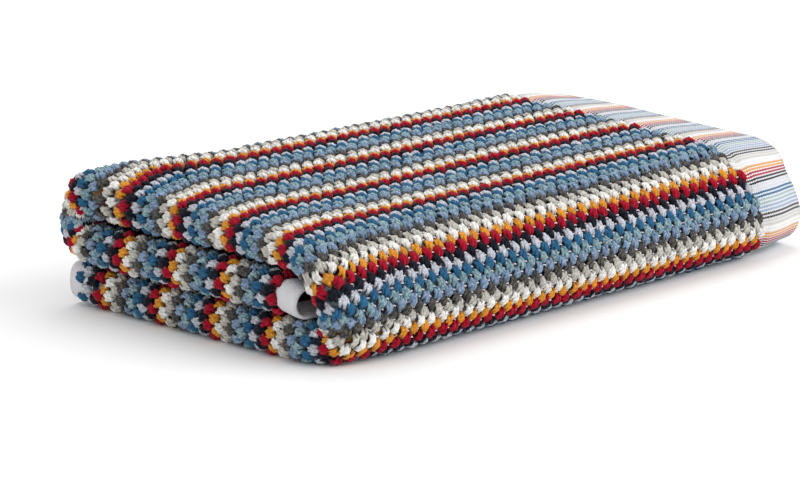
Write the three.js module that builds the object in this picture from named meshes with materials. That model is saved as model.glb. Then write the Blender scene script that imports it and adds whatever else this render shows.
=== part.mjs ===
// Folded terry hand towel: one cloth, folded in three across its length and then in three across its
// width, so nine layers lie on each other. Millimetres, +Z up, standing on z = 0.
// X runs along the stripes and -Y is the long side with the one round fold.
// The origin is the middle of the base.
import * as THREE from 'three';

// The cloth
const CLOTH_LENGTH = 800;         // along the stripes, hem to hem
const PILE_THICKNESS = 4.5;       // ground weave and the tufts on both faces
const FLAT_THICKNESS = 1.6;       // hems and selvedges have no pile
const HEM = 30;                   // flat woven hem at each end
const SELVEDGE = 10;              // flat woven strip along each side
const PILE_STEP = 2.5;            // the pile rises to its full height over this length

// The stack of three layers that the first folding makes, and its place in the pile of nine
const LAYER_PITCH = 5;            // one layer and the air above it
const STACK = 3 * LAYER_PITCH;
const LEFT_END = -138;            // outermost reach of the three round ends
const HEM_END = 150;              // end of the outer flap, on the right
const RIGHT_FOLD = 144;           // outermost reach of the hidden fold, on the right
const BULB_RADIUS = 5;            // the left fold is a puffy bulb, wider than two layers
const BULB_NECK = 24;             // length over which the bulb closes to the layers' pitch
const HIDDEN_RADIUS = LAYER_PITCH / 2;
// All layers have stations at these places, so that they bend alike and don't touch
const SHARED_X = [-117, -107, -95, -82, -66, -40, -5, 35, 75, 105];
const SHARED_Y = [-36, -15, 8, 28, 40, 52];
const MARK_CLEARANCE = 3;         // no shared station this near to another one
const STEPS = { bulb: 8, neck: 5, hiddenFold: 5, selvedge: 5, backFold: 8, shoulder: 8, foot: 6 };

// The second folding, as the middle layer's path in the YZ plane
const LOW = LAYER_PITCH + PILE_THICKNESS / 2;
const MIDDLE = LOW + STACK;
const HIGH = MIDDLE + STACK;
const SHOULDER_Y = -51;           // where the top panel begins its long round down the front
const SHOULDER_TURN = 75;         // degrees that the shoulder turns before the tighter foot takes over
const FOOT_RADIUS = 7.6;
const BACK_TURN_Y = 61;           // where the top and middle panels turn into the back fold
const BACK_RADIUS = STACK / 2;
const INNER_END = { y: -60.5, droop: 1.5 };  // selvedge that is tucked inside the round front
const UNDER_END_Y = 71;           // selvedge that lies at the bottom of the back

// How the towel departs from straight layers. The bottom panel stays flat under the first height
const RISE = { fromZ: 10, toZ: 56 };
const TOP_HEIGHT = HIGH + LAYER_PITCH + PILE_THICKNESS / 2;
const TOP_RISE = { lift: 4, fromY: -84, toY: -44, slope: 0.058 };  // over the front, then on to the back
const TOP_WAVE = { height: 0.5, x: 41, y: 27 };
// The front is pressed in at one height, most near one place
const FRONT = { fromY: -63, toY: -77 };
const FRONT_DENT = { lift: 3.6, height: 15, spread: 5.5, x: -125, reach: 62 };
// The round ends are puffed up over the creases and don't stand in one line:
// each shift is how far one of them is pushed out, at the height z
const ENDS = { fromX: -93, toX: -130 };
const END_SHIFTS = [{ z: 7, shift: -1.5 }, { z: 24, shift: -3 }, { z: 40, shift: 1.5 }];
const MIDDLE_SWELL = { lift: 3, height: 31, spread: 9, fromY: 62, toY: -20 };
const LOWER_CREASE = { lift: 1.5, height: 15, spread: 6 };
// The near left corner is drawn in, and stays behind the other round ends
const CORNER_IN = { pull: 7, fromX: -100, toX: -145, fromY: -46, toY: -92 };
const CORNER_BACK = { pull: 8, fromX: -92, toX: -142, fromY: -58, toY: -84 };
// The far left corner is the fattest, at the top most of all, and the selvedge under it curls up
const FAR_CORNER = { fromX: -55, toX: -115, fromY: 25, toY: 72, push: 2.5, topPush: 2.5, out: 3, lift: 2.8 };
const SELVEDGE_CURL = { lift: 3.4, height: 11, spread: 6, fromX: -98, toX: -136, fromY: 50, toY: 66 };
// The hem of the outer flap hangs a little, more so at the far end
const HEM_SAG = { drop: 1.6, farDrop: 2.6, tuck: 4, pull: 2.4, fromX: 117, fromY: 20, toY: 75 };

const clamp01 = (value) => Math.min(1, Math.max(0, value));

function smooth(from, to, value) {
  const t = clamp01((value - from) / (to - from));
  return t * t * (3 - 2 * t);
}

const bell = (distance, spread) => Math.exp(-((distance / spread) ** 2));

// A path of straight stretches and arcs in a plane, sampled as { a, b, length } at even steps
class Path {
  constructor(a, b) {
    this.stations = [{ a, b, length: 0 }];
  }

  add(a, b) {
    const last = this.stations[this.stations.length - 1];
    this.stations.push({ a, b, length: last.length + Math.hypot(a - last.a, b - last.b) });
  }

  // Level, with stations at the marks that all layers share and at the places where the pile ends
  levelThrough(a, shared, pileEnds) {
    const start = this.stations[this.stations.length - 1];
    const [low, high] = [Math.min(a, start.a), Math.max(a, start.a)];
    const clear = (mark) => [low, high, ...pileEnds].every((end) => Math.abs(mark - end) > MARK_CLEARANCE);
    const marks = [...shared.filter((mark) => mark > low && mark < high && clear(mark)), ...pileEnds];
    marks.sort((p, q) => (p - q) * Math.sign(a - start.a));
    for (const mark of [...marks, a]) this.add(mark, start.b);
  }

  arc(centreA, centreB, radius, fromDegrees, toDegrees, steps) {
    for (let i = 1; i <= steps; i += 1) {
      const angle = THREE.MathUtils.degToRad(fromDegrees + ((toDegrees - fromDegrees) * i) / steps);
      this.add(centreA + radius * Math.cos(angle), centreB + radius * Math.sin(angle));
    }
  }

  // Smooth change of b along a, as in the neck of the bulb
  ramp(a, b, steps) {
    const start = this.stations[this.stations.length - 1];
    for (let i = 1; i <= steps; i += 1) {
      this.add(start.a + ((a - start.a) * i) / steps, start.b + (b - start.b) * smooth(0, steps, i));
    }
  }

  // Unit normal on the left of the direction of travel, at each station
  withNormals() {
    const last = this.stations.length - 1;
    return this.stations.map((station, i) => {
      const before = this.stations[Math.max(0, i - 1)];
      const after = this.stations[Math.min(last, i + 1)];
      const length = Math.hypot(after.a - before.a, after.b - before.b);
      return { ...station, na: -(after.b - before.b) / length, nb: (after.a - before.a) / length };
    });
  }
}

// First folding, in (x, h): h is the height over the stack's middle layer, and the outer face looks to +h.
// It starts at the hem of the outer flap, turns round the bulb on the left, and ends at the hidden hem.
function crosswiseFold() {
  const bulbX = LEFT_END + PILE_THICKNESS / 2 + BULB_RADIUS;
  const bulbH = LAYER_PITCH - BULB_RADIUS;
  const hiddenX = RIGHT_FOLD - PILE_THICKNESS / 2 - HIDDEN_RADIUS;
  const path = new Path(HEM_END, LAYER_PITCH);
  path.levelThrough(bulbX, SHARED_X, [HEM_END - HEM + PILE_STEP, HEM_END - HEM]);
  path.arc(bulbX, bulbH, BULB_RADIUS, 90, 270, STEPS.bulb);
  path.ramp(bulbX + BULB_NECK, 0, STEPS.neck);
  path.levelThrough(hiddenX, SHARED_X, []);
  path.arc(hiddenX, -HIDDEN_RADIUS, HIDDEN_RADIUS, 90, -90, STEPS.hiddenFold);
  const innerEnd = hiddenX - (CLOTH_LENGTH - path.stations[path.stations.length - 1].length);
  path.levelThrough(innerEnd, SHARED_X, [innerEnd + HEM, innerEnd + HEM - PILE_STEP]);
  return path.withNormals().map((s) => ({ x: s.a, h: s.b, nx: -s.na, nh: -s.nb, length: s.length }));
}

// Second folding, in (y, z): from the selvedge inside the front, round the back, over the top,
// down the round front and back under everything. The outer side of the stack is on the right of travel.
function lengthwiseFold() {
  const turn = THREE.MathUtils.degToRad(SHOULDER_TURN);
  const footDrop = FOOT_RADIUS * (1 + Math.cos(turn));
  const shoulderRadius = (HIGH - LOW - footDrop) / (1 - Math.cos(turn));
  const footY = SHOULDER_Y - (shoulderRadius - FOOT_RADIUS) * Math.sin(turn);
  const tuck = SELVEDGE + PILE_STEP;
  const path = new Path(INNER_END.y, MIDDLE - INNER_END.droop);
  path.ramp(INNER_END.y + tuck, MIDDLE, STEPS.selvedge);
  path.levelThrough(BACK_TURN_Y, SHARED_Y, []);
  path.arc(BACK_TURN_Y, MIDDLE + BACK_RADIUS, BACK_RADIUS, -90, 90, STEPS.backFold);
  path.levelThrough(SHOULDER_Y, SHARED_Y, []);
  path.arc(SHOULDER_Y, HIGH - shoulderRadius, shoulderRadius, 90, 90 + SHOULDER_TURN, STEPS.shoulder);
  path.arc(footY, LOW + FOOT_RADIUS, FOOT_RADIUS, 90 + SHOULDER_TURN, 270, STEPS.foot);
  path.levelThrough(UNDER_END_Y, SHARED_Y, [UNDER_END_Y - tuck, UNDER_END_Y - SELVEDGE]);
  return path.withNormals().map((s) => ({ y: s.a, z: s.b, ny: -s.na, nz: -s.nb, length: s.length }));
}

// Half the thickness of the cloth: full under the pile, thin in the hems and selvedges
function halfThickness(fromHem, fromSelvedge) {
  const pile = smooth(HEM - PILE_STEP, HEM, fromHem) * smooth(SELVEDGE, SELVEDGE + PILE_STEP, fromSelvedge);
  return (FLAT_THICKNESS + (PILE_THICKNESS - FLAT_THICKNESS) * pile) / 2;
}

// A swelling at one height, or a pressed-in place when it is used sideways
const swell = ({ lift, height, spread }, z) => lift * bell(z - height, spread);

const alongX = ({ fromX, toX }, x) => smooth(fromX, toX, x);

const alongY = ({ fromY, toY }, y) => smooth(fromY, toY, y);

// 0 to 1 towards one corner of the plan
const towards = (corner, x, y) => alongX(corner, x) * alongY(corner, y);

function endShift(z) {
  const upper = END_SHIFTS.findIndex((row) => z < row.z);
  if (upper === 0) return END_SHIFTS[0].shift;
  if (upper < 0) return END_SHIFTS[END_SHIFTS.length - 1].shift;
  const [a, b] = [END_SHIFTS[upper - 1], END_SHIFTS[upper]];
  return a.shift + (b.shift - a.shift) * smooth(a.z, b.z, z);
}

// How much a point at the top of the towel is lifted
function topLift(x, y, hem, farCorner) {
  const rise = TOP_RISE.lift * alongY(TOP_RISE, y) + TOP_RISE.slope * Math.max(0, y - TOP_RISE.toY);
  const wave = Math.sin(x / TOP_WAVE.x) * Math.cos(y / TOP_WAVE.y) * TOP_WAVE.height;
  const sag = HEM_SAG.drop + HEM_SAG.farDrop * alongY(HEM_SAG, y);
  return rise + wave + FAR_CORNER.lift * farCorner - sag * hem;
}

// How much the creases and the swollen ends between them are lifted
function bulge(x, y, z, ends) {
  const middle = swell(MIDDLE_SWELL, z) * alongY(MIDDLE_SWELL, y);
  const curl = swell(SELVEDGE_CURL, z) * towards(SELVEDGE_CURL, x, y);
  return ends * (middle + swell(LOWER_CREASE, z)) + curl;
}

// From straight layers to the lying towel. The height 0 stays 0, so the base is flat.
function settle({ x, y, z }) {
  const ends = alongX(ENDS, x);
  const front = alongY(FRONT, y);
  const farCorner = towards(FAR_CORNER, x, y);
  const hem = smooth(HEM_SAG.fromX, HEM_END, x) ** 2;
  const above = smooth(RISE.fromZ, RISE.toZ, z) / smooth(RISE.fromZ, RISE.toZ, TOP_HEIGHT);
  const inwards = CORNER_BACK.pull * towards(CORNER_BACK, x, y) - HEM_SAG.pull * hem * front;
  const outwards = ends * endShift(z) - FAR_CORNER.out * farCorner * above;
  const dent = swell(FRONT_DENT, z) * bell(x - FRONT_DENT.x, FRONT_DENT.reach);
  const backwards = (FAR_CORNER.push + FAR_CORNER.topPush * above) * farCorner;
  return new THREE.Vector3(
    x + inwards + outwards,
    y + front * (dent + HEM_SAG.tuck * hem) + CORNER_IN.pull * towards(CORNER_IN, x, y) + backwards,
    z + above * topLift(x, y, hem, farCorner) + bulge(x, y, z, ends) * smooth(0, RISE.fromZ, z),
  );
}

function towelGeometry() {
  const across = crosswiseFold();
  const along = lengthwiseFold();
  const totalLength = across[across.length - 1].length;
  const totalWidth = along[along.length - 1].length;
  const positions = [];
  for (const side of [1, -1]) {
    for (const v of across) {
      for (const u of along) {
        const fromHem = Math.min(v.length, totalLength - v.length);
        const fromSelvedge = Math.min(u.length, totalWidth - u.length);
        const out = side * halfThickness(fromHem, fromSelvedge);
        const h = v.h + out * v.nh;
        const point = settle({ x: v.x + out * v.nx, y: u.y + h * u.ny, z: u.z + h * u.nz });
        positions.push(point.x, point.y, point.z);
      }
    }
  }
  const columns = along.length;
  const sheet = across.length * columns;
  const index = [];
  const quad = (a, b, c, d) => index.push(a, b, c, a, c, d);
  for (let i = 0; i + 1 < across.length; i += 1) {
    for (let j = 0; j + 1 < columns; j += 1) {
      const a = i * columns + j;
      quad(a, a + columns, a + columns + 1, a + 1);
      quad(sheet + a, sheet + a + 1, sheet + a + columns + 1, sheet + a + columns);
    }
  }
  const lastRow = (across.length - 1) * columns;
  for (let j = 0; j + 1 < columns; j += 1) {
    quad(j, j + 1, sheet + j + 1, sheet + j);
    quad(lastRow + j + 1, lastRow + j, sheet + lastRow + j, sheet + lastRow + j + 1);
  }
  for (let i = 0; i + 1 < across.length; i += 1) {
    const a = i * columns;
    const b = a + columns - 1;
    quad(a + columns, a, sheet + a, sheet + a + columns);
    quad(b, b + columns, sheet + b + columns, sheet + b);
  }
  const geometry = new THREE.BufferGeometry();
  geometry.setAttribute('position', new THREE.Float32BufferAttribute(positions, 3));
  geometry.setIndex(index);
  geometry.computeBoundingBox();
  const box = geometry.boundingBox;
  geometry.translate(-(box.min.x + box.max.x) / 2, -(box.min.y + box.max.y) / 2, -box.min.z);
  geometry.computeVertexNormals();
  return geometry;
}

const CLOTH_COLOUR = 0x8fa3b8;
const cloth = new THREE.MeshStandardMaterial({ color: CLOTH_COLOUR, roughness: 0.95, metalness: 0 });
const towel = new THREE.Mesh(towelGeometry(), cloth);
towel.name = 'towel';

const model = new THREE.Group();
model.add(towel);

export default model;
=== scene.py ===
# %% [markdown]
# # A folded terry hand towel
# The towel is one cotton cloth with thick tufts of looped yarn in narrow colour columns.
# It is folded in three across its length, and the long stack is then folded in three again.
# Two things make it look real: the way its nine layers roll over each other, and the tufts themselves.
# So the ground cloth comes first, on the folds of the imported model, and every tuft is then set on it.

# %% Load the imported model
import math

import bpy
import numpy as np
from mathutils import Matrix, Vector


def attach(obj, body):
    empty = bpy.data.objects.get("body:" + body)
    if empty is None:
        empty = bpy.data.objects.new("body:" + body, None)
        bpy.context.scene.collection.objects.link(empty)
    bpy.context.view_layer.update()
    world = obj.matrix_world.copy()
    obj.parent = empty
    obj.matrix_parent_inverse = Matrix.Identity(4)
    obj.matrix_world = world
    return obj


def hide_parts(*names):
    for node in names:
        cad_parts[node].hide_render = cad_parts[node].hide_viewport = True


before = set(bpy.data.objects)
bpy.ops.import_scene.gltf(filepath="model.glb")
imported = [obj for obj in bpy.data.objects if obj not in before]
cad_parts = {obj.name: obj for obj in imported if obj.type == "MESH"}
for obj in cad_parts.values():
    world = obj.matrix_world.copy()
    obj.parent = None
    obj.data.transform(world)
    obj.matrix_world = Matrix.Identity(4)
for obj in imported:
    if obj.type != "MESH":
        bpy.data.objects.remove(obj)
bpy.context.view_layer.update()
MM = 0.001

# %% [markdown]
# ## The sizes of the cloth and of its folds
# A sheet of cloth could be dropped on a table and folded by a simulation, but a fold in three lies
# better when it is drawn. The same named sizes as in the solid are used, all in millimetres, and they are
# turned into metres at the very end.

# %% Named sizes, in millimetres
CLOTH_LENGTH = 800
PILE_THICKNESS = 4.5
HEM = 30
SELVEDGE = 10
PILE_STEP = 2.5

LAYER_PITCH = 5
STACK = 3 * LAYER_PITCH
LEFT_END = -138
HEM_END = 150
RIGHT_FOLD = 144
BULB_RADIUS = 5
BULB_NECK = 24
HIDDEN_RADIUS = LAYER_PITCH / 2

LOW = LAYER_PITCH + PILE_THICKNESS / 2
MIDDLE = LOW + STACK
HIGH = MIDDLE + STACK
SHOULDER_Y = -51
SHOULDER_TURN = 75
FOOT_RADIUS = 7.6
BACK_TURN_Y = 61
BACK_RADIUS = STACK / 2
INNER_END_Y, INNER_END_DROOP = -60.5, 1.5
UNDER_END_Y = 71

# %% How the towel departs from straight layers
RISE = dict(from_z=10, to_z=56)
TOP_HEIGHT = HIGH + LAYER_PITCH + PILE_THICKNESS / 2
TOP_RISE = dict(lift=4, from_y=-84, to_y=-44, slope=0.058)
TOP_WAVE = dict(height=0.5, x=41, y=27)
FRONT = dict(from_y=-63, to_y=-77)
FRONT_DENT = dict(lift=3.6, height=15, spread=5.5, x=-125, reach=62)
ENDS = dict(from_x=-93, to_x=-130)
END_SHIFT_HEIGHTS = [7, 24, 40]
END_SHIFTS = [-1.5, -3, 1.5]
MIDDLE_SWELL = dict(lift=3, height=31, spread=9, from_y=62, to_y=-20)
LOWER_CREASE = dict(lift=1.5, height=15, spread=6)
CORNER_IN = dict(pull=7, from_x=-100, to_x=-145, from_y=-46, to_y=-92)
CORNER_BACK = dict(pull=8, from_x=-92, to_x=-142, from_y=-58, to_y=-84)
FAR_CORNER = dict(from_x=-55, to_x=-115, from_y=25, to_y=72, push=2.5, top_push=2.5, out=3, lift=2.8)
SELVEDGE_CURL = dict(lift=3.4, height=11, spread=6, from_x=-98, to_x=-136, from_y=50, to_y=66)
HEM_SAG = dict(drop=1.6, far_drop=2.6, tuck=4, pull=2.4, from_x=117, from_y=20, to_y=75)

# %% [markdown]
# ## Drawing the two folds
# Each fold is a line in a plane: straight stretches, soft ramps and arcs, one after another.
# The first line gives the three layers and the round end on the left. The second line takes that
# stack round the back, over the top, down the front and under. Together they place any point of the cloth.


# %% A line of straight stretches, ramps and arcs
def smooth(start, end, value):
    t = np.clip((value - start) / (end - start), 0, 1)
    return t * t * (3 - 2 * t)


def bell(distance, spread):
    return np.exp(-((distance / spread) ** 2))


class FoldLine:
    """A fold drawn in a plane, with the length walked so far at the places that get a name."""

    def __init__(self, a, b):
        self.points = [(a, b)]
        self.marks = {}

    def ramp(self, a, b, step=1.5):
        start_a, start_b = self.points[-1]
        count = max(1, round(abs(a - start_a) / step))
        for t in np.linspace(0, 1, count + 1)[1:]:
            self.points.append((start_a + (a - start_a) * t, start_b + (b - start_b) * smooth(0, 1, t)))

    def level(self, a):
        self.ramp(a, self.points[-1][1])

    def arc(self, centre_a, centre_b, radius, start, end):
        count = max(6, round(radius * math.radians(abs(end - start)) / 0.7))
        for angle in np.radians(np.linspace(start, end, count + 1))[1:]:
            self.points.append((centre_a + radius * math.cos(angle), centre_b + radius * math.sin(angle)))

    def walked(self):
        return float(np.hypot(*np.diff(np.array(self.points), axis=0).T).sum())

    def mark(self, name):
        self.marks[name] = self.walked()

    def finish(self):
        places = np.array(self.points)
        steps = np.hypot(*np.diff(places, axis=0).T)
        self.lengths = np.concatenate([[0], np.cumsum(steps)])
        along = np.gradient(places, self.lengths, axis=0)
        along /= np.linalg.norm(along, axis=1)[:, None]
        self.table = np.column_stack([places, along[:, 1], -along[:, 0]])
        self.total = float(self.lengths[-1])
        return self

    def at(self, length):
        """Place and outward normal at a length along the line, as four arrays."""
        return [np.interp(length, self.lengths, column) for column in self.table.T]


# %% First fold: three layers, seen from the long side
def fold_across():
    bulb_x = LEFT_END + PILE_THICKNESS / 2 + BULB_RADIUS
    hidden_x = RIGHT_FOLD - PILE_THICKNESS / 2 - HIDDEN_RADIUS
    line = FoldLine(HEM_END, LAYER_PITCH)
    line.level(bulb_x)
    line.mark("bulb start")
    line.arc(bulb_x, LAYER_PITCH - BULB_RADIUS, BULB_RADIUS, 90, 270)
    line.mark("bulb end")
    line.ramp(bulb_x + BULB_NECK, 0)
    line.mark("neck end")
    line.level(hidden_x)
    line.mark("hidden start")
    line.arc(hidden_x, -HIDDEN_RADIUS, HIDDEN_RADIUS, 90, -90)
    line.mark("hidden end")
    line.level(hidden_x - (CLOTH_LENGTH - line.walked()))
    return line.finish()


# %% Second fold: the stack in three, seen from the end
def fold_along():
    turn = math.radians(SHOULDER_TURN)
    foot_drop = FOOT_RADIUS * (1 + math.cos(turn))
    shoulder_radius = (HIGH - LOW - foot_drop) / (1 - math.cos(turn))
    foot_y = SHOULDER_Y - (shoulder_radius - FOOT_RADIUS) * math.sin(turn)
    line = FoldLine(INNER_END_Y, MIDDLE - INNER_END_DROOP)
    line.ramp(INNER_END_Y + SELVEDGE + PILE_STEP, MIDDLE)
    line.mark("inner pile")
    line.level(BACK_TURN_Y)
    line.mark("back")
    line.arc(BACK_TURN_Y, MIDDLE + BACK_RADIUS, BACK_RADIUS, -90, 90)
    line.mark("top")
    line.level(SHOULDER_Y)
    line.mark("front")
    line.arc(SHOULDER_Y, HIGH - shoulder_radius, shoulder_radius, 90, 90 + SHOULDER_TURN)
    line.arc(foot_y, LOW + FOOT_RADIUS, FOOT_RADIUS, 90 + SHOULDER_TURN, 270)
    line.mark("under")
    line.level(UNDER_END_Y - SELVEDGE - PILE_STEP)
    line.mark("under pile")
    line.level(UNDER_END_Y)
    return line.finish()


ACROSS = fold_across()
ALONG = fold_along()
print(f"cloth: {ALONG.total:.1f} mm across the columns, {ACROSS.total:.1f} mm along them")


# %% [markdown]
# ## From straight layers to a lying towel
# Real layers aren't straight. The top climbs to the fat fold at the back, the near left corner is
# drawn in, the round ends don't stand in one line, and the flat hem sags. One smooth shift of space
# does all of that at once, so layers that are apart before it are still apart after it.


# %% Where each departure is at work
def along_x(part, x):
    return smooth(part["from_x"], part["to_x"], x)


def along_y(part, y):
    return smooth(part["from_y"], part["to_y"], y)


def towards(corner, x, y):
    return along_x(corner, x) * along_y(corner, y)


def swell(part, z):
    return part["lift"] * bell(z - part["height"], part["spread"])


def end_shift(z):
    lower, middle, upper = END_SHIFT_HEIGHTS
    first, second, third = END_SHIFTS
    return first + (second - first) * smooth(lower, middle, z) + (third - second) * smooth(middle, upper, z)


# %% The soft shift of space
def top_lift(x, y, hem, far_corner):
    rise = TOP_RISE["lift"] * along_y(TOP_RISE, y) + TOP_RISE["slope"] * np.maximum(0, y - TOP_RISE["to_y"])
    wave = np.sin(x / TOP_WAVE["x"]) * np.cos(y / TOP_WAVE["y"]) * TOP_WAVE["height"]
    sag = HEM_SAG["drop"] + HEM_SAG["far_drop"] * along_y(HEM_SAG, y)
    return rise + wave + FAR_CORNER["lift"] * far_corner - sag * hem


def bulge(x, y, z, ends):
    middle = swell(MIDDLE_SWELL, z) * along_y(MIDDLE_SWELL, y)
    curl = swell(SELVEDGE_CURL, z) * towards(SELVEDGE_CURL, x, y)
    return ends * (middle + swell(LOWER_CREASE, z)) + curl


def settle(x, y, z):
    ends, front, far_corner = along_x(ENDS, x), along_y(FRONT, y), towards(FAR_CORNER, x, y)
    hem = smooth(HEM_SAG["from_x"], HEM_END, x) ** 2
    above = smooth(RISE["from_z"], RISE["to_z"], z) / smooth(RISE["from_z"], RISE["to_z"], TOP_HEIGHT)
    inwards = CORNER_BACK["pull"] * towards(CORNER_BACK, x, y) - HEM_SAG["pull"] * hem * front
    outwards = ends * end_shift(z) - FAR_CORNER["out"] * far_corner * above
    dent = swell(FRONT_DENT, z) * bell(x - FRONT_DENT["x"], FRONT_DENT["reach"])
    backwards = (FAR_CORNER["push"] + FAR_CORNER["top_push"] * above) * far_corner
    new_x = x + inwards + outwards
    corner_in = CORNER_IN["pull"] * towards(CORNER_IN, x, y)
    new_y = y + front * (dent + HEM_SAG["tuck"] * hem) + corner_in + backwards
    bulges = bulge(x, y, z, ends) * smooth(0, RISE["from_z"], z)
    new_z = z + above * top_lift(x, y, hem, far_corner) + bulges
    return np.stack([new_x, new_y, new_z], axis=-1)


# %% Any point of the cloth
def folded(u, v, out):
    """u runs across the columns and v along them; out is the distance from the cloth's middle."""
    x, h, x_normal, h_normal = ACROSS.at(v)
    height = h + out * h_normal
    y, z, y_normal, z_normal = ALONG.at(u)
    return settle(x + out * x_normal, y + height * y_normal, z + height * z_normal)


def box_centre():
    u, v = np.meshgrid(np.linspace(0, ALONG.total, 400), np.linspace(0, ACROSS.total, 600))
    faces = [folded(u, v, out).reshape(-1, 3) for out in (-PILE_THICKNESS / 2, PILE_THICKNESS / 2)]
    sides = np.concatenate(faces)
    low, high = sides.min(axis=0), sides.max(axis=0)
    print("folded cloth in mm:", np.round(high - low, 1))
    return np.array([(low[0] + high[0]) / 2, (low[1] + high[1]) / 2, 0])


CENTRE = box_centre()


def cloth_point(u, v, out):
    """The same point in metres, round the middle of the base."""
    return (folded(u, v, out) - CENTRE) * MM


# %% [markdown]
# ## Columns of colour
# The towel's warp threads give it ten yarn colours, one column each, about 3.1 mm wide. Columns are
# counted from -60, next to the selvedge that is tucked in, to 93, next to the one underneath.
# The cloth is a little stretched over its outer folds, so columns are spaced on the outside of the stack.
# The towel was folded a little askew, so the columns drift sideways where they go over the round ends.

# %% Where each column lies
FIRST_COLUMN, LAST_COLUMN = -60, 93
BACK_COLUMN, TOP_COLUMN, FRONT_COLUMN, UNDER_COLUMN = -24, -4, 32, 56    # where each panel starts
COLUMN_WIDTH = 3.1
COLUMN_MARKS = ["inner pile", "back", "top", "front", "under", "under pile"]
COLUMNS_THERE = [FIRST_COLUMN - 0.5, -23.2, -3, 32.4, 54.2, LAST_COLUMN + 0.5]
ROUND_SHIFTS = [-0.5, 0, 12, 5.5, 11, 7.5]    # how far columns drift, in mm, on the round ends


def outer_walk():
    u = np.linspace(0, ALONG.total, 1200)
    middle_of_cloth = np.full_like(u, HEM_END - 10)
    places = folded(u, middle_of_cloth, PILE_THICKNESS / 2)
    steps = np.linalg.norm(np.diff(places, axis=0), axis=1)
    return u, np.concatenate([[0], np.cumsum(steps)])


WALK_U, WALK = outer_walk()
MARKS_U = [ALONG.marks[name] for name in COLUMN_MARKS]
MARKS_WALK = np.interp(MARKS_U, WALK_U, WALK)
for name, mark, column in zip(COLUMN_MARKS, MARKS_WALK, COLUMNS_THERE):
    print(f"column {column:6.1f} at {name}, {mark:6.1f} mm along the outside")
print("column widths in mm:", np.round(np.diff(MARKS_WALK) / np.diff(COLUMNS_THERE), 2))


def column_u(column, v=0):
    """Where a column lies, as a length across the cloth."""
    over_end = smooth(ACROSS.marks["bulb start"] - 33, ACROSS.marks["bulb start"] + 11, v)
    drift = np.interp(column, COLUMNS_THERE, ROUND_SHIFTS) * over_end
    return np.interp(np.interp(column, COLUMNS_THERE, MARKS_WALK) + drift, WALK, WALK_U)


def column_at(u):
    """The column at a length across the cloth, counted on into the selvedges."""
    inside = np.interp(np.interp(u, WALK_U, WALK), MARKS_WALK, COLUMNS_THERE)
    before = np.minimum(0, u - MARKS_U[0]) / COLUMN_WIDTH
    after = np.maximum(0, u - MARKS_U[-1]) / COLUMN_WIDTH
    return inside + before + after


# %% [markdown]
# ## The ground cloth
# The ground weave carries everything: it is the flat, bare cloth at the hems and selvedges, and it
# lies under the tufts elsewhere. A grid with one row of faces for each column is bent on the folds.
# Its UV map counts columns one way and metres the other, so stripes follow the cloth wherever it goes.

# %% Rows and columns of the grid
GROUND_THICKNESS = 1.3
GROUND_SINK = 0.9      # under the tufts the ground lies this much deeper than the bare hems


def spaced(start, end, step):
    return np.linspace(start, end, max(1, round((end - start) / step)) + 1)[:-1]


def grid_u():
    total = ALONG.total
    selvedge = spaced(0, SELVEDGE + PILE_STEP, 2.5)
    pile = column_u(np.arange(FIRST_COLUMN, LAST_COLUMN + 2) - 0.5)
    return np.concatenate([selvedge, pile, total - selvedge[::-1]])


def grid_v():
    marks = ACROSS.marks
    parts = [
        spaced(0, HEM - PILE_STEP, 4.6),
        spaced(HEM - PILE_STEP, HEM, 1.25),
        spaced(HEM, marks["bulb start"], 6.5),
        spaced(marks["bulb start"], marks["bulb end"], 1.5),
        spaced(marks["bulb end"], marks["neck end"], 3),
        spaced(marks["neck end"], marks["hidden start"], 8),
        spaced(marks["hidden start"], marks["hidden end"], 1),
        spaced(marks["hidden end"], ACROSS.total - HEM, 8),
        spaced(ACROSS.total - HEM, ACROSS.total, 6),
        [ACROSS.total],
    ]
    return np.concatenate(parts)


def pile_share(u, v):
    """1 where tufts stand, 0 on the bare hems and selvedges."""
    from_hem = np.minimum(v, ACROSS.total - v)
    from_selvedge = np.minimum(u, ALONG.total - u)
    return smooth(HEM - PILE_STEP, HEM, from_hem) * smooth(SELVEDGE, SELVEDGE + PILE_STEP, from_selvedge)


def ground_out(u, v):
    """Middle of the ground cloth. It sinks only where its outer tufts are modelled."""
    seen = smooth(ACROSS.marks["neck end"] + 60, ACROSS.marks["neck end"], v)
    return -GROUND_SINK * pile_share(u, v) * seen


# %% Read and write all vertices or a whole UV map at once
def read_places(mesh):
    places = np.empty(len(mesh.vertices) * 3)
    mesh.vertices.foreach_get("co", places)
    return places.reshape(-1, 3)


def write_places(mesh, places):
    mesh.vertices.foreach_set("co", places.ravel())
    mesh.update()


def read_uv(mesh, name):
    uv = np.empty(len(mesh.loops) * 2)
    mesh.uv_layers[name].data.foreach_get("uv", uv)
    return uv.reshape(-1, 2)


def write_uv(mesh, name, uv):
    if name not in mesh.uv_layers:
        mesh.uv_layers.new(name=name)
    mesh.uv_layers[name].data.foreach_set("uv", uv.ravel())


# %% Bend a grid into the ground cloth
BAKE_MARGIN = 0.01     # empty rim of each half of the bake map


def select_none():
    bpy.ops.object.select_all(action="DESELECT")


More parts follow.
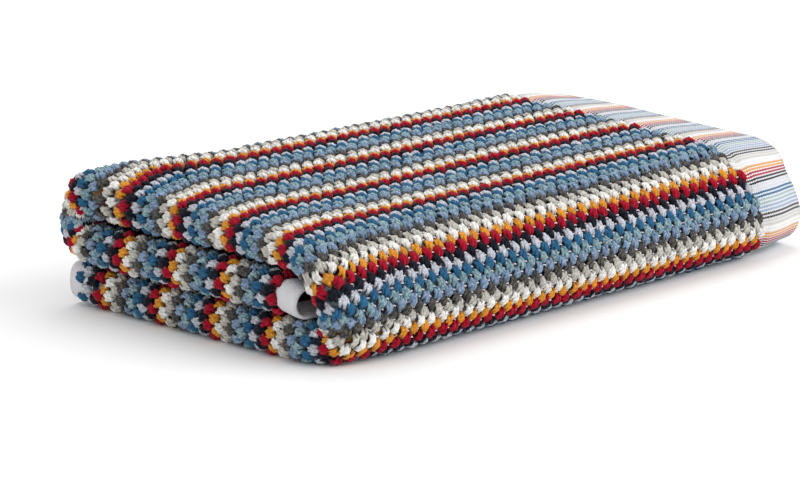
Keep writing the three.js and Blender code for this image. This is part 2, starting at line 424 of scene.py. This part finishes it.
def make_ground():
    u_lines, v_lines = grid_u(), grid_v()
    select_none()
    bpy.ops.mesh.primitive_grid_add(
        x_subdivisions=len(u_lines) - 1, y_subdivisions=len(v_lines) - 1, size=1)
    ground = bpy.context.object
    ground.name = ground.data.name = "ground_cloth"
    mesh = ground.data
    flat = read_places(mesh)
    u = u_lines[np.rint((flat[:, 0] + 0.5) * (len(u_lines) - 1)).astype(int)]
    v = v_lines[np.rint((flat[:, 1] + 0.5) * (len(v_lines) - 1)).astype(int)]
    write_places(mesh, cloth_point(u, v, ground_out(u, v)))
    corners = np.empty(len(mesh.loops), dtype=int)
    mesh.loops.foreach_get("vertex_index", corners)
    mesh.uv_layers[0].name = "cloth"
    write_uv(mesh, "cloth", np.stack([column_at(u), v * MM], axis=-1)[corners])
    room = np.array([0.5, 1]) - 2 * BAKE_MARGIN
    half = np.stack([u / ALONG.total, v / ACROSS.total], axis=-1)[corners] * room + BAKE_MARGIN
    write_uv(mesh, "OFBake", half)
    return ground


ground = make_ground()

# %% Give it thickness, and smooth faces that point outwards
ground.data.materials.append(None)
ground.data.materials.append(None)
thicken = ground.modifiers.new("thickness", "SOLIDIFY")
thicken.thickness = GROUND_THICKNESS * MM
thicken.offset = 0
thicken.material_offset = 1
thicken.material_offset_rim = 0
bpy.ops.object.modifier_apply(modifier="thickness")
bpy.ops.object.mode_set(mode="EDIT")
bpy.ops.mesh.select_all(action="SELECT")
bpy.ops.mesh.normals_make_consistent(inside=False)
bpy.ops.object.mode_set(mode="OBJECT")
bpy.ops.object.shade_smooth()
print("ground cloth:", len(ground.data.polygons), "faces")

# %% The two faces of the cloth get their own half of the bake map
def part_bake_halves(mesh):
    second = np.empty(len(mesh.polygons), dtype=int)
    mesh.polygons.foreach_get("material_index", second)
    totals = np.empty(len(mesh.polygons), dtype=int)
    mesh.polygons.foreach_get("loop_total", totals)
    uv = read_uv(mesh, "OFBake")
    uv[:, 0] += np.repeat(second == 1, totals) * 0.5
    write_uv(mesh, "OFBake", uv)
    print("faces on the second half of the bake map:", int((second == 1).sum()))
    mesh.polygons.foreach_set("material_index", np.zeros(len(mesh.polygons), dtype=int))


part_bake_halves(ground.data)
ground.data.materials.pop()

# %% [markdown]
# ## One tuft, and one stitch
# A tuft is a small bunch of yarn loops that stand up from the ground and lean against each other.
# One loop is half of a torus. Four of them, of uneven height and turned a little, make the bunch.
# It is longer across the column than along it, so it reaches between its neighbours on both sides.
# A single low loop of pale ground yarn is the stitch that shows between two tufts on the front.
# Their UV maps run round and along the yarn, so the twist of the yarn can follow each loop.

# %% The loops: place along the column, span, height, turn and lean, and the radius of the yarn
TUFT_LOOPS = [
    dict(x=-1.1, y=0.2, span=4.1, height=2.5, turn=10, lean=-7, radius=0.72),
    dict(x=-0.38, y=-0.25, span=5.2, height=3.0, turn=-8, lean=-2, radius=0.75),
    dict(x=0.38, y=0.25, span=5.1, height=2.9, turn=9, lean=2, radius=0.75),
    dict(x=1.1, y=-0.2, span=4.0, height=2.55, turn=-11, lean=7, radius=0.72),
]
STITCH_LOOPS = [dict(x=0, y=0, span=2.3, height=1.6, turn=90, lean=0, radius=0.32)]
RING = 0.4             # radius of the yarn on a torus of radius 1, before it is shaped
TILE_MARGIN = 0.05     # empty rim of a tile on the bake map
SHADED_ROOT_HEIGHT = 2.0      # below this the yarn is painted darker, as shade near the roots, in mm


def make_loop(loop):
    select_none()
    bpy.ops.mesh.primitive_torus_add(
        major_segments=8, minor_segments=4, major_radius=1, minor_radius=RING,
        rotation=(0, math.radians(90), 0), generate_uvs=True)
    piece = bpy.context.object
    bpy.ops.object.transform_apply(location=False, rotation=True, scale=False)
    bpy.ops.object.mode_set(mode="EDIT")
    bpy.ops.mesh.select_all(action="SELECT")
    bpy.ops.mesh.bisect(plane_co=(0, 0, 0), plane_no=(0, 0, 1), clear_inner=True)
    bpy.ops.object.mode_set(mode="OBJECT")
    radius = loop["radius"]
    places = read_places(piece.data)
    ring = places[:, 1:] / np.linalg.norm(places[:, 1:], axis=1)[:, None]
    over = (places[:, 1:] - ring) / RING
    middle = ring * [loop["span"] / 2 - 0.2, loop["height"] - radius * 0.9]
    shaped = np.column_stack([places[:, 0] / RING * radius, middle + over * radius])
    write_places(piece.data, shaped * MM)
    piece.rotation_euler = (0, math.radians(loop["lean"]), math.radians(loop["turn"]))
    piece.location = (loop["x"] * MM, loop["y"] * MM, 0)
    bpy.ops.object.transform_apply(location=True, rotation=True, scale=False)
    return piece


# %% Join the loops, and lay them side by side on the bake map
def join_loops(name, shapes):
    loops = [make_loop(loop) for loop in shapes]
    side = math.ceil(math.sqrt(len(loops)))
    for number, piece in enumerate(loops):
        mesh = piece.data
        mesh.uv_layers[0].name = "yarn"
        uv = read_uv(mesh, "yarn")
        low, high = uv.min(axis=0), uv.max(axis=0)
        tile = (uv - low) / (high - low) * (1 - 2 * TILE_MARGIN) + TILE_MARGIN
        write_uv(mesh, "OFBake", (tile + [number % side, number // side]) / side)
    select_none()
    for piece in loops:
        piece.select_set(True)
    bpy.context.view_layer.objects.active = loops[0]
    bpy.ops.object.join()
    bunch = bpy.context.object
    bunch.name = bunch.data.name = name
    bpy.ops.object.shade_smooth()
    # root is 1 at the foot of the loops and fades to 0 higher up; the material paints shade near the roots
    # with it
    root = bunch.data.attributes.new("root", "FLOAT", "POINT")
    heights = read_places(bunch.data)[:, 2]
    root.data.foreach_set("value", 1 - smooth(0, SHADED_ROOT_HEIGHT * MM, heights))
    size = [round(d / MM, 1) for d in bunch.dimensions]
    print(f"{name}: {len(bunch.data.polygons)} faces, {size} mm")
    return bunch


tuft = join_loops("tuft", TUFT_LOOPS)
stitch = join_loops("stitch", STITCH_LOOPS)

# %% [markdown]
# ## Setting the tufts
# Tufts stand 6.5 mm apart along a column, and neighbouring columns are half a step apart, like a
# checkerboard. Every tuft gets a place, a turn and a size that vary a little, and then Geometry Nodes
# sets a copy of the one tuft on each point. The copies are made real, so each zone is one mesh.

# %% Lines of tufts along a column
TUFT_PITCH = 6.522
FIRST_TUFT_X = 114.1
GROUND_FACE = -0.45    # the tufts' roots, measured from the cloth's middle
CROWN = 1.6            # tufts are spaced at this height over the cloth's middle
HIDDEN_FOLD_PITCH = 4.2
HIDDEN_FOLD_ROWS = [-0.75, 0.25]
# How far places, angles and sizes vary by chance: in steps, degrees and shares
SCATTER = dict(along=0.05, across=0.06, spin=9, lean=7, size=0.05)
SMALLEST, LARGEST = 0.88, 1.1
# Tufts are broader on the round ends, higher past them, and spread over the shoulder.
ROUND_BREADTH = 0.14
PAST_ROUND_HEIGHT = 0.25
SHOULDER = dict(spread=0.12, column=35, reach=8)
# On the front they are turned a little, in degrees
FRONT_TURN = dict(degrees=-13, start=28, full=38, last=54, end=58)
# Some colours stand higher than others
COLOUR_HEIGHTS = np.array([1.1, 0.97, 0.93, 1.0, 1.02, 1.03, 0.97, 1.0, 1.06, 0.88])


def tuft_walk():
    """Lengths along the cloth, and lengths walked on the crowns, which spread on the round end."""
    v = np.linspace(0, ACROSS.total, 4000)
    x, h, x_normal, h_normal = ACROSS.at(v)
    crowns = np.stack([x + x_normal * CROWN, h + h_normal * CROWN], axis=-1)
    steps = np.linalg.norm(np.diff(crowns, axis=0), axis=1)
    return v, np.concatenate([[0], np.cumsum(steps)])


TUFT_V, TUFT_WALK = tuft_walk()
FLAT_TUFTS = int((FIRST_TUFT_X - LEFT_END - 6) // TUFT_PITCH)


def tuft_v(number):
    """Length along the cloth of tuft 0, 1, 2 of a column, from the hem to the round end and past it."""
    return np.interp(HEM_END - FIRST_TUFT_X + number * TUFT_PITCH, TUFT_WALK, TUFT_V)


def hidden_fold_v(number):
    """The same on the tight fold at the right, counted from its middle. Its crowns spread a lot."""
    middle = (ACROSS.marks["hidden start"] + ACROSS.marks["hidden end"]) / 2
    return middle + number * HIDDEN_FOLD_PITCH


# %% Places and turns of a zone's tufts
def unit(vectors):
    return vectors / np.linalg.norm(vectors, axis=-1, keepdims=True)


def turn_on(along, up, across, spin, lean_along, lean_across):
    """Axes of a tuft that is spun about its height and then leans two ways, as Euler angles."""
    cosine, sine = np.cos(spin), np.sin(spin)
    along, across = along * cosine + across * sine, across * cosine - along * sine
    up = unit(up + along * lean_along + across * lean_across)
    along = unit(along - up * (along * up).sum(axis=-1, keepdims=True))
    across = np.cross(up, along)
    return np.stack([
        np.arctan2(across[:, 2], up[:, 2]),
        np.arcsin(np.clip(-along[:, 2], -1, 1)),
        np.arctan2(along[:, 1], along[:, 0]),
    ], axis=-1)


def front_turn(column):
    arriving = smooth(FRONT_TURN["start"], FRONT_TURN["full"], column)
    leaving = smooth(FRONT_TURN["end"], FRONT_TURN["last"], column)
    return FRONT_TURN["degrees"] * arriving * leaving


def grow(size, column, v):
    bulb_start, bulb_end = ACROSS.marks["bulb start"], ACROSS.marks["bulb end"]
    colour = ((column - FIRST_COLUMN) % len(COLOUR_HEIGHTS)).astype(int)
    size[:, 0] *= 1 + ROUND_BREADTH * smooth(bulb_start - 12, bulb_start + 2, v)
    size[:, 1] *= 1 + SHOULDER["spread"] * bell(column - SHOULDER["column"], SHOULDER["reach"])
    size[:, 2] *= 1 + PAST_ROUND_HEIGHT * smooth(bulb_end - 8, bulb_end + 2, v)
    size[:, 2] *= COLOUR_HEIGHTS[colour]
    return size


def tuft_places(columns, numbers, seed, face=1, length_of=tuft_v):
    chance = np.random.default_rng(seed)
    column, number = [grid.ravel().astype(float) for grid in np.meshgrid(columns, numbers)]
    number = number + (column % 2) * 0.5 + chance.normal(0, SCATTER["along"], column.shape)
    v = length_of(number)
    u = column_u(column + chance.normal(0, SCATTER["across"], column.shape), v)
    root = cloth_point(u, v, np.full_like(u, face * GROUND_FACE))
    crown = cloth_point(u, v, np.full_like(u, face * PILE_THICKNESS / 2))
    middle = np.full_like(u, face * 1.0)
    ahead = cloth_point(u, v - 1, middle) - cloth_point(u, v + 1, middle)
    up = unit(crown - root)
    along = unit(ahead - up * (ahead * up).sum(axis=-1, keepdims=True))
    spin = chance.normal(0, SCATTER["spin"], column.shape)
    spin = spin + 180 * chance.integers(0, 2, column.shape) + front_turn(column)
    leans = np.radians(chance.normal(0, SCATTER["lean"], (2, len(column))))
    turn = turn_on(along, up, np.cross(up, along), np.radians(spin)[:, None], *leans[:, :, None])
    size = np.clip(chance.normal(1, SCATTER["size"], (len(column), 3)), SMALLEST, LARGEST)
    shade = chance.uniform(-1, 1, column.shape)
    return dict(root=root, turn=turn, size=grow(size, column, v), column=column, shade=shade)


# %% The nodes that set a tuft on every point
def planting_nodes(plant_shape):
    tree = bpy.data.node_groups.new(f"plant {plant_shape.name}", "GeometryNodeTree")
    tree.interface.new_socket("Geometry", in_out="INPUT", socket_type="NodeSocketGeometry")
    tree.interface.new_socket("Geometry", in_out="OUTPUT", socket_type="NodeSocketGeometry")
    points = tree.nodes.new("NodeGroupInput")
    shape = tree.nodes.new("GeometryNodeObjectInfo")
    shape.inputs["Object"].default_value = plant_shape
    turn = tree.nodes.new("GeometryNodeInputNamedAttribute")
    turn.data_type = "FLOAT_VECTOR"
    turn.inputs["Name"].default_value = "turn"
    euler = tree.nodes.new("FunctionNodeEulerToRotation")
    size = tree.nodes.new("GeometryNodeInputNamedAttribute")
    size.data_type = "FLOAT_VECTOR"
    size.inputs["Name"].default_value = "size"
    plant = tree.nodes.new("GeometryNodeInstanceOnPoints")
    realize = tree.nodes.new("GeometryNodeRealizeInstances")
    result = tree.nodes.new("NodeGroupOutput")
    link = tree.links.new
    link(points.outputs[0], plant.inputs["Points"])
    link(shape.outputs["Geometry"], plant.inputs["Instance"])
    link(turn.outputs[0], euler.inputs[0])
    link(euler.outputs[0], plant.inputs["Rotation"])
    link(size.outputs[0], plant.inputs["Scale"])
    link(plant.outputs[0], realize.inputs[0])
    link(realize.outputs[0], result.inputs[0])
    return tree


TUFT_PLANTING = planting_nodes(tuft)
STITCH_PLANTING = planting_nodes(stitch)


# %% Plant one zone, and give every tuft its own tile of the bake map
def spread_bake_tiles(mesh, count):
    side = math.ceil(math.sqrt(count))
    number = np.repeat(np.arange(count), len(mesh.loops) // count)
    tile = np.stack([number % side, number // side], axis=-1)
    write_uv(mesh, "OFBake", (read_uv(mesh, "OFBake") + tile) / side)


def press_on_floor(mesh):
    """Tufts at the bottom are pressed flat by the weight of the towel."""
    places = read_places(mesh)
    places[:, 2] = np.maximum(places[:, 2], 0)
    write_places(mesh, places)


TUFT_ATTRIBUTES = [
    ("turn", "FLOAT_VECTOR", "vector"), ("size", "FLOAT_VECTOR", "vector"),
    ("column", "FLOAT", "value"), ("shade", "FLOAT", "value"),
]


def plant_zone(name, places, planting_group=TUFT_PLANTING):
    mesh = bpy.data.meshes.new(name)
    mesh.from_pydata(places["root"], [], [])
    for label, kind, field in TUFT_ATTRIBUTES:
        layer = mesh.attributes.new(label, kind, "POINT")
        layer.data.foreach_set(field, places[label].ravel())
    zone = bpy.data.objects.new(name, mesh)
    bpy.context.collection.objects.link(zone)
    select_none()
    zone.select_set(True)
    bpy.context.view_layer.objects.active = zone
    planting = zone.modifiers.new("tufts", "NODES")
    planting.node_group = planting_group
    bpy.ops.object.modifier_apply(modifier="tufts")
    press_on_floor(zone.data)
    for label in ("turn", "size"):
        if label in zone.data.attributes:
            zone.data.attributes.remove(zone.data.attributes[label])
    spread_bake_tiles(zone.data, len(places["column"]))
    print(f"{name}: {len(places['column'])} planted, {len(zone.data.polygons)} faces")
    return zone


def several(*places):
    return {key: np.concatenate([part[key] for part in places]) for key in places[0]}


# %% The zones: top, front, underside, back, round ends and the tight fold inside
FLAT = np.arange(0, FLAT_TUFTS)
ROUND_AND_NECK = np.arange(FLAT_TUFTS, FLAT_TUFTS + 8)
INNER_PANEL = np.arange(FIRST_COLUMN, BACK_COLUMN)
BACK = np.arange(BACK_COLUMN, TOP_COLUMN)
TOP = np.arange(TOP_COLUMN, FRONT_COLUMN)
FRONT_PANEL = np.arange(FRONT_COLUMN, UNDER_COLUMN)
UNDER = np.arange(UNDER_COLUMN, LAST_COLUMN + 1)
ALL_COLUMNS = np.arange(FIRST_COLUMN, LAST_COLUMN + 1)
zones = [
    plant_zone("pile_top", tuft_places(TOP, FLAT, seed=1)),
    plant_zone("pile_front", tuft_places(FRONT_PANEL, FLAT, seed=2)),
    plant_zone("pile_under", tuft_places(UNDER, FLAT, seed=3)),
    plant_zone("pile_back", several(
        tuft_places(BACK, FLAT, seed=4),
        tuft_places(INNER_PANEL, FLAT[:3], seed=5))),
    plant_zone("pile_round_ends", several(
        tuft_places(ALL_COLUMNS, ROUND_AND_NECK, seed=6),
        tuft_places(INNER_PANEL, FLAT[-3:], seed=7))),
    plant_zone("pile_hidden_fold", tuft_places(
        ALL_COLUMNS, HIDDEN_FOLD_ROWS, seed=9, face=-1, length_of=hidden_fold_v)),
]
between_tufts = tuft_places(FRONT_PANEL[4:], FLAT + 0.5, seed=8)
stitches = plant_zone("ground_stitches", between_tufts, STITCH_PLANTING)
bpy.data.objects.remove(tuft)
bpy.data.objects.remove(stitch)

# %% [markdown]
# ## Colours of the yarn
# Ten colours repeat across the cloth. A colour ramp with ten flat steps holds them, and the column's
# number picks the step. The tufts and the bare hems both use it, so it is one group of nodes.

# %% The ten yarn colours
YARNS = {
    "cherry": (0.41, 0.002, 0.023),
    "ink": (0.005, 0.0045, 0.01),
    "pearl": (0.62, 0.64, 0.7),
    "ocean": (0.026, 0.145, 0.28),
    "mint": (0.34, 0.47, 0.48),
    "periwinkle": (0.3, 0.4, 0.54),
    "taupe": (0.06, 0.056, 0.05),
    "oat": (0.6, 0.58, 0.52),
    "cream": (0.88, 0.87, 0.83),
    "marigold": (0.74, 0.32, 0.03),
}
# A second colour that is spun into some yarns, and how much of it
HEATHERS = {
    "cherry": (0.3, 0.001, 0.015, 0.5),
    "ink": (0.01, 0.015, 0.04, 0.5),
    "pearl": (0.3, 0.31, 0.36, 0.5),
    "ocean": (0.02, 0.085, 0.19, 0.7),
    "mint": (0.07, 0.18, 0.27, 0.75),
    "periwinkle": (0.1, 0.18, 0.3, 0.75),
    "taupe": (0.16, 0.15, 0.14, 0.5),
    "oat": (0.4, 0.38, 0.34, 0.6),
    "cream": (0.7, 0.69, 0.66, 0.5),
    "marigold": (0.56, 0.2, 0.015, 0.5),
}


def new_group(name, inputs, outputs):
    group = bpy.data.node_groups.new(name, "ShaderNodeTree")
    kinds = dict(value="NodeSocketFloat", colour="NodeSocketColor")
    for direction, sockets in (("INPUT", inputs), ("OUTPUT", outputs)):
        for label, kind in sockets.items():
            group.interface.new_socket(label, in_out=direction, socket_type=kinds[kind])
    return group, group.nodes.new("NodeGroupInput"), group.nodes.new("NodeGroupOutput")


def maths(tree, operation, first, second=None, third=None):
    """A Math node; an input is a socket to link or a plain number."""
    node = tree.nodes.new("ShaderNodeMath")
    node.operation = operation
    for socket, value in zip(node.inputs, (first, second, third)):
        if isinstance(value, bpy.types.NodeSocket):
            tree.links.new(value, socket)
        elif value is not None:
            socket.default_value = value
    return node.outputs[0]


def blend_colours(tree, how, share, first, second):
    """A Mix node for colours; each input is a socket to link or a plain value."""
    node = tree.nodes.new("ShaderNodeMix")
    node.data_type = "RGBA"
    node.blend_type = how
    for socket, value in zip((node.inputs[0], node.inputs[6], node.inputs[7]), (share, first, second)):
        if isinstance(value, bpy.types.NodeSocket):
            tree.links.new(value, socket)
        elif isinstance(value, tuple):
            socket.default_value = (*value, 1)
        else:
            socket.default_value = value
    return node.outputs[2]


def stripe_group(name, colours):
    group, start, end = new_group(name, dict(Column="value"), dict(Color="colour", Alpha="value"))
    count = len(colours)
    centred = maths(group, "ADD", start.outputs["Column"], 0.5 - FIRST_COLUMN)
    step = maths(group, "FLOOR", maths(group, "MODULO", centred, float(count)))
    place = maths(group, "MULTIPLY_ADD", step, 1 / count, 0.5 / count)
    ramp = group.nodes.new("ShaderNodeValToRGB")
    ramp.color_ramp.interpolation = "CONSTANT"
    stops = ramp.color_ramp.elements
    while len(stops) < count:
        stops.new(0.5)
    for number, colour in enumerate(colours.values()):
        stops[number].position = number / count
        stops[number].color = (*colour[:3], colour[3] if len(colour) == 4 else 1)
    group.links.new(place, ramp.inputs["Fac"])
    group.links.new(ramp.outputs["Color"], end.inputs["Color"])
    group.links.new(ramp.outputs["Alpha"], end.inputs["Alpha"])
    return group


STRIPES = stripe_group("stripe colours", YARNS)
SPUN_IN = stripe_group("spun in colours", HEATHERS)

# %% [markdown]
# ## Cotton yarn
# Loops of cotton are matt, softly lit at grazing angles, and painted darker down at their roots as shade.
# Two plies are twisted together, which shows as fine slanting ridges, in the bump and as painted shade in
# the grooves. The ridges come from the loops' own UV map.


# %% A slanting twist, as a group of its own
def twist_group():
    group, start, end = new_group(
        "yarn twist", dict(Around="value", Along="value", Turns="value"), dict(Ridge="value"))
    slant = maths(group, "MULTIPLY", start.outputs["Along"], start.outputs["Turns"])
    angle = maths(group, "MULTIPLY", maths(group, "ADD", slant, start.outputs["Around"]), 2 * math.pi)
    ridge = maths(group, "MULTIPLY_ADD", maths(group, "SINE", angle), 0.5, 0.5)
    group.links.new(ridge, end.inputs["Ridge"])
    return group


TWIST = twist_group()


def group_outputs(tree, group, **links):
    node = tree.nodes.new("ShaderNodeGroup")
    node.node_tree = group
    for label, value in links.items():
        if isinstance(value, bpy.types.NodeSocket):
            tree.links.new(value, node.inputs[label])
        else:
            node.inputs[label].default_value = value
    return node.outputs


def attribute(tree, name):
    node = tree.nodes.new("ShaderNodeAttribute")
    node.attribute_name = name
    return node.outputs["Fac"]


def uv_parts(tree, name):
    node = tree.nodes.new("ShaderNodeUVMap")
    node.uv_map = name
    split = tree.nodes.new("ShaderNodeSeparateXYZ")
    tree.links.new(node.outputs[0], split.inputs[0])
    return split.outputs["X"], split.outputs["Y"]


def noise(tree, scale, detail=2.0):
    place = tree.nodes.new("ShaderNodeTexCoord")
    node = tree.nodes.new("ShaderNodeTexNoise")
    node.inputs["Scale"].default_value = scale
    node.inputs["Detail"].default_value = detail
    tree.links.new(place.outputs["Object"], node.inputs["Vector"])
    return node.outputs[0]


def new_material(name, roughness, specular):
    material = bpy.data.materials.new(name)
    material.use_nodes = True
    tree = material.node_tree
    shader = tree.nodes["Principled BSDF"]
    shader.inputs["Roughness"].default_value = roughness
    shader.inputs["Specular IOR Level"].default_value = specular
    return material, tree, shader


def add_bump(tree, shader, height, strength, distance):
    bump = tree.nodes.new("ShaderNodeBump")
    bump.inputs["Strength"].default_value = strength
    bump.inputs["Distance"].default_value = distance
    tree.links.new(height, bump.inputs["Height"])
    tree.links.new(bump.outputs[0], shader.inputs["Normal"])


# %% The tufts' material
FLECK_SCALE, FIBRE_SCALE, PATCH_SCALE = 1000.0, 2600.0, 130.0    # of the noise, in waves a metre
YARN_TURNS = 7.0       # turns of the twist along one loop
FLECK_LEVEL = 0.56     # the spun in colour shows where the noise is over this
# the ridges' share is painted shade: the grooves of the twist are darker than its crests
TUFTS_VARY, PATCHES_VARY, PLY_GROOVE_SHADE = 0.07, 0.3, 0.3
PAINTED_ROOT_SHADE = 0.75      # painted shade: how much darker a root is painted than a crown


def vary(tree, brightness, mask, share):
    """Brightness with a mask added that is centred on nothing."""
    return maths(tree, "ADD", brightness, maths(tree, "MULTIPLY_ADD", mask, share, -share / 2))


def tuft_material():
    material, tree, shader = new_material("looped cotton", roughness=0.9, specular=0.12)
    column = attribute(tree, "column")
    colour = group_outputs(tree, STRIPES, Column=column)["Color"]
    spun_in, amount = group_outputs(tree, SPUN_IN, Column=column)
    around_loop, along_loop = uv_parts(tree, "yarn")
    ridge = group_outputs(tree, TWIST, Around=along_loop, Along=around_loop, Turns=YARN_TURNS)["Ridge"]
    fleck = maths(tree, "MULTIPLY_ADD", ridge, 0.12, noise(tree, FLECK_SCALE))
    fleck = maths(tree, "GREATER_THAN", fleck, FLECK_LEVEL)
    colour = blend_colours(tree, "MIX", maths(tree, "MULTIPLY", fleck, amount), colour, spun_in)
    brightness = maths(tree, "MULTIPLY_ADD", attribute(tree, "shade"), TUFTS_VARY, 1.0)
    brightness = vary(tree, brightness, noise(tree, PATCH_SCALE), PATCHES_VARY)
    # painted shade: the grooves between the plies are painted darker
    brightness = vary(tree, brightness, ridge, PLY_GROOVE_SHADE)
    # painted shade: the loops are painted darker towards their roots
    painted_shade_at_roots = maths(tree, "MULTIPLY_ADD", attribute(tree, "root"), -PAINTED_ROOT_SHADE, 1.0)
    brightness = maths(tree, "MULTIPLY", brightness, painted_shade_at_roots)
    grey = tree.nodes.new("ShaderNodeCombineColor")
    for socket in grey.inputs:
        tree.links.new(brightness, socket)
    shaded = blend_colours(tree, "MULTIPLY", 1.0, colour, grey.outputs[0])
    tree.links.new(shaded, shader.inputs["Base Color"])
    height = maths(tree, "MULTIPLY_ADD", noise(tree, FIBRE_SCALE), 0.6, ridge)
    add_bump(tree, shader, height, strength=0.78, distance=0.00035)
    shader.inputs["Sheen Weight"].default_value = 0.1
    shader.inputs["Sheen Roughness"].default_value = 0.5
    return material


looped_cotton = tuft_material()
for zone in zones:
    zone.data.materials.clear()
    zone.data.materials.append(looped_cotton)


# %% The stitches' material
def stitch_material():
    material, _, shader = new_material("pale ground yarn", roughness=0.9, specular=0.12)
    shader.inputs["Base Color"].default_value = (0.8, 0.7, 0.72, 1)
    return material


stitches.data.materials.clear()
stitches.data.materials.append(stitch_material())

# %% [markdown]
# ## The flat weave
# At the hems and selvedges the coloured warp threads run bare through a pale weave. Each column shows
# there as two thin beaded lines. Under the tufts the ground has the columns' own colours, painted darker as
# shade.

# %% Beaded lines, as a group of its own
LINE_PITCH = 0.0013     # length of one bead
LINE_WIDTH = 0.29       # as a share of a line's room, half a column
LINE_SWELL = 0.1        # how much a bead is wider than the line
LINE_BLUR = 0.1
PALE_EDGE = 3.5         # the ground is still pale this far under the first tufts, in mm


def line_group():
    group, start, end = new_group("beaded lines", dict(Column="value", Along="value"), dict(Line="value"))
    column, along = start.outputs["Column"], start.outputs["Along"]
    counted = maths(group, "ADD", column, 0.5 - FIRST_COLUMN)
    cell = maths(group, "FRACT", maths(group, "MULTIPLY", counted, 2.0))
    off_line = maths(group, "ABSOLUTE", maths(group, "SUBTRACT", cell, 0.5))
    phase = maths(group, "MULTIPLY", maths(group, "FLOOR", maths(group, "MULTIPLY", column, 2.0)), math.pi)
    beads = maths(group, "SINE", maths(group, "MULTIPLY_ADD", along, 2 * math.pi / LINE_PITCH, phase))
    width = maths(group, "MULTIPLY_ADD", beads, LINE_SWELL, LINE_WIDTH)
    edge = maths(group, "DIVIDE", maths(group, "SUBTRACT", width, off_line), LINE_BLUR)
    line = maths(group, "MINIMUM", maths(group, "MAXIMUM", maths(group, "ADD", edge, 0.5), 0.0), 1.0)
    group.links.new(line, end.inputs["Line"])
    return group


LINES = line_group()


# %% 1 where tufts stand, 0 on the hems and selvedges
def piled_group():
    group, start, end = new_group(
        "under the pile", dict(Column="value", Along="value"), dict(Striped="value", Piled="value"))
    column, along = start.outputs["Column"], start.outputs["Along"]
    first = maths(group, "GREATER_THAN", column, FIRST_COLUMN - 0.5)
    last = maths(group, "LESS_THAN", column, LAST_COLUMN + 0.5)
    striped = maths(group, "MULTIPLY", first, last)
    past_hem = maths(group, "GREATER_THAN", along, (HEM + PALE_EDGE) * MM)
    before_hem = maths(group, "LESS_THAN", along, (CLOTH_LENGTH - HEM - PALE_EDGE) * MM)
    piled = maths(group, "MULTIPLY", striped, maths(group, "MULTIPLY", past_hem, before_hem))
    group.links.new(striped, end.inputs["Striped"])
    group.links.new(piled, end.inputs["Piled"])
    return group


PILED = piled_group()


# %% The ground's material: pale at the hems, column colours in painted shade under the tufts
PALE = (0.74, 0.73, 0.76)
# painted shade: the column colours under the tufts are darkened by this
IN_SHADE = (0.4, 0.4, 0.4)


def ground_material():
    material, tree, shader = new_material("flat weave", roughness=0.8, specular=0.25)
    column, metres = uv_parts(tree, "cloth")
    colour = group_outputs(tree, STRIPES, Column=column)["Color"]
    line = group_outputs(tree, LINES, Column=column, Along=metres)["Line"]
    striped, piled = group_outputs(tree, PILED, Column=column, Along=metres)
    lined = blend_colours(tree, "MIX", maths(tree, "MULTIPLY", striped, line), PALE, colour)
    # painted shade: under the tufts the warp colours are painted darker
    ground_in_painted_shade = blend_colours(tree, "MULTIPLY", 1.0, colour, IN_SHADE)
    tree.links.new(blend_colours(tree, "MIX", piled, lined, ground_in_painted_shade), shader.inputs["Base Color"])
    across_ribs = maths(tree, "SINE", maths(tree, "MULTIPLY", metres, 4 * math.pi / LINE_PITCH))
    along_ribs = maths(tree, "SINE", maths(tree, "MULTIPLY", column, 2 * math.pi * 4))
    weave = maths(tree, "MULTIPLY", across_ribs, along_ribs)
    height = maths(tree, "MULTIPLY_ADD", line, 1.4, weave)
    add_bump(tree, shader, height, strength=0.6, distance=0.0002)
    shader.inputs["Sheen Weight"].default_value = 0.15
    return material


ground.data.materials.clear()
ground.data.materials.append(ground_material())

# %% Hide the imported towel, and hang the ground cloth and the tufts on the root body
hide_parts("towel")
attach(ground, "root")
pile = [*zones, stitches]
for piece in pile:
    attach(piece, "root")

# %% [markdown]
# ## Floor, light and camera
# The towel lies in a bright white studio. A wide white floor and an even white sky do most of the work.
# One large soft light stands at the front on the right, so the shadow falls to the left and to the back,
# and a weaker one hangs overhead.

# %% Floor
select_none()
bpy.ops.mesh.primitive_plane_add(size=30)
floor = bpy.context.object
floor.name = "studio_floor"
floor_material, _, floor_shader = new_material("white floor", roughness=0.9, specular=0.0)
floor_shader.inputs["Base Color"].default_value = (0.9, 0.9, 0.9, 1)
floor.data.materials.append(floor_material)

# %% Light
world = bpy.data.worlds.new("studio")
bpy.context.scene.world = world
world.use_nodes = True
world.node_tree.nodes["Background"].inputs["Color"].default_value = (1, 1, 1, 1)
world.node_tree.nodes["Background"].inputs["Strength"].default_value = 0.78


def soft_light(name, place, size, power):
    lamp = bpy.data.lights.new(name, "AREA")
    lamp.size = size
    lamp.energy = power
    holder = bpy.data.objects.new(name, lamp)
    holder.location = place
    holder.rotation_euler = Vector(place).to_track_quat("Z", "Y").to_euler()
    bpy.context.collection.objects.link(holder)


soft_light("front right", (0.95, -1.35, 0.95), 1.6, 22)
soft_light("overhead", (0.25, 0.5, 1.3), 1.2, 7)
bpy.context.scene.view_settings.view_transform = "Standard"

# %% Camera
CAMERA_PLACE = Vector((-0.9552, -0.8986, 0.3291))
CAMERA_LOOK = Vector((0.697706, 0.676233, -0.236463))
bpy.ops.object.camera_add(location=CAMERA_PLACE, rotation=CAMERA_LOOK.to_track_quat("-Z", "Y").to_euler())
camera = bpy.context.object
camera.data.sensor_width = 36
camera.data.lens = 144.2
camera.data.clip_start = 0.05
camera.data.clip_end = 100
bpy.context.scene.camera = camera
